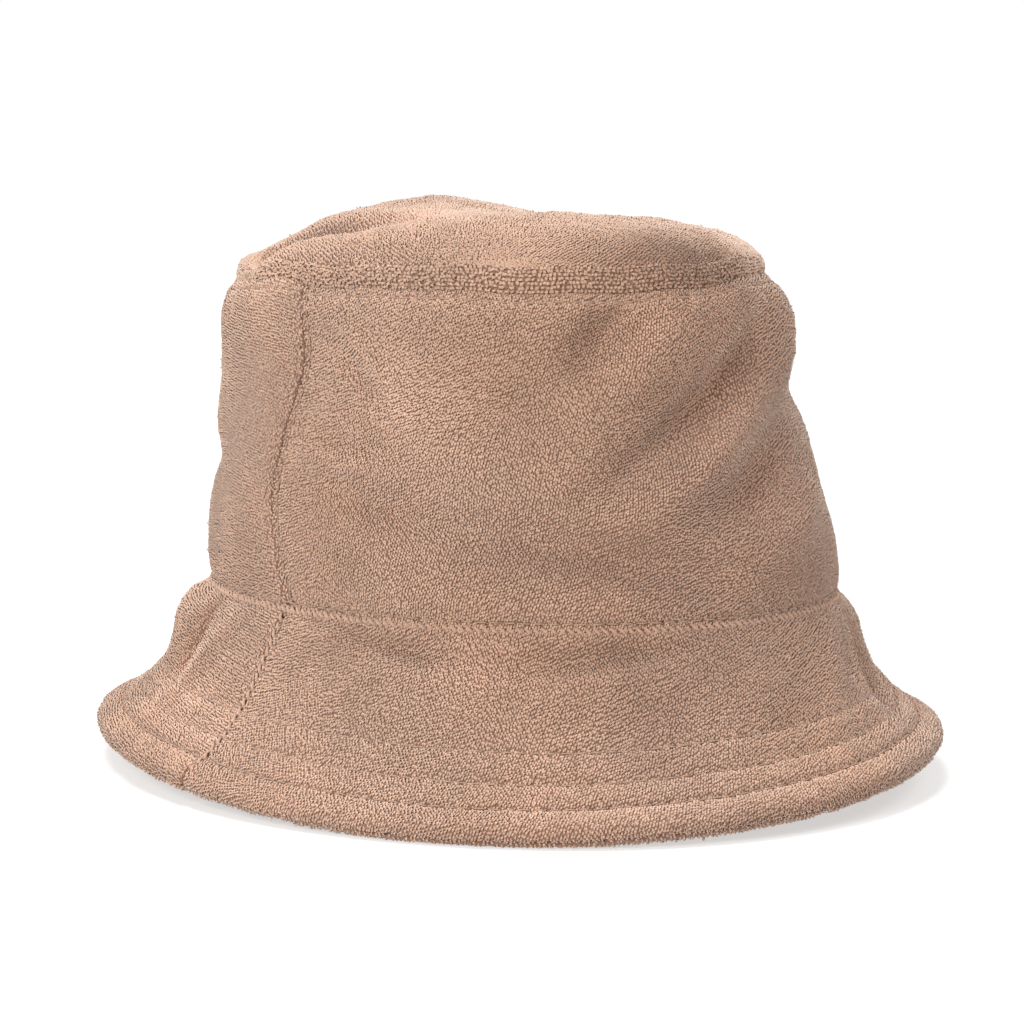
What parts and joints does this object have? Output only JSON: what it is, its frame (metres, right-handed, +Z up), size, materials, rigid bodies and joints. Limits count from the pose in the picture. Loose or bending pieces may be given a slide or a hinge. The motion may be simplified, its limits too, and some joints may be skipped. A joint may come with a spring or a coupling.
{
  "type": "bucket hat",
  "caption": "Soft bucket hat sewn from looped towelling, with a domed tip, straight crown, stitched flared brim, lining, sweatband and a hinged blank label inside.",
  "frame": {"origin": "centre of the hat's footprint, on the surface that its brim stands on", "axes": "+Z up through the tip, front towards -Y, side seams on the X axis, longest along Y from front to back"},
  "size_m": [0.227, 0.257, 0.1564],
  "materials": {
    "towelling": "looped cotton towelling in a dusty tan",
    "stiffener": "bonded fibre stiffener",
    "lining": "plain woven cotton",
    "sweatband": "cotton twill",
    "label": "blank woven satin tape",
    "thread": "polyester sewing thread"
  },
  "bodies": {
    "hat": {"crown_tip": "towelling", "front_crown_panel": "towelling", "back_crown_panel": "towelling", "front_upper_brim": "towelling", "back_upper_brim": "towelling", "front_under_brim": "towelling", "back_under_brim": "towelling", "front_brim_stiffener": "stiffener", "back_brim_stiffener": "stiffener", "lining_tip": "lining", "front_lining_panel": "lining", "back_lining_panel": "lining", "sweatband": "sweatband", "brim_topstitching": "thread", "brim_understitching": "thread", "base_topstitching": "thread", "tip_topstitching": "thread", "side_seam_topstitching": "thread", "brim_seam_stitching": "thread", "sweatband_stitching": "thread"},
    "label": {"care_label": "label"}
  },
  "joints": [
    {"name": "label_flap", "type": "hinge", "parent": "hat", "child": "label", "pos_m": [0, 0.088, 0.077], "axis": [-1, 0, 0], "range_deg": [0, 165]}
  ]
}
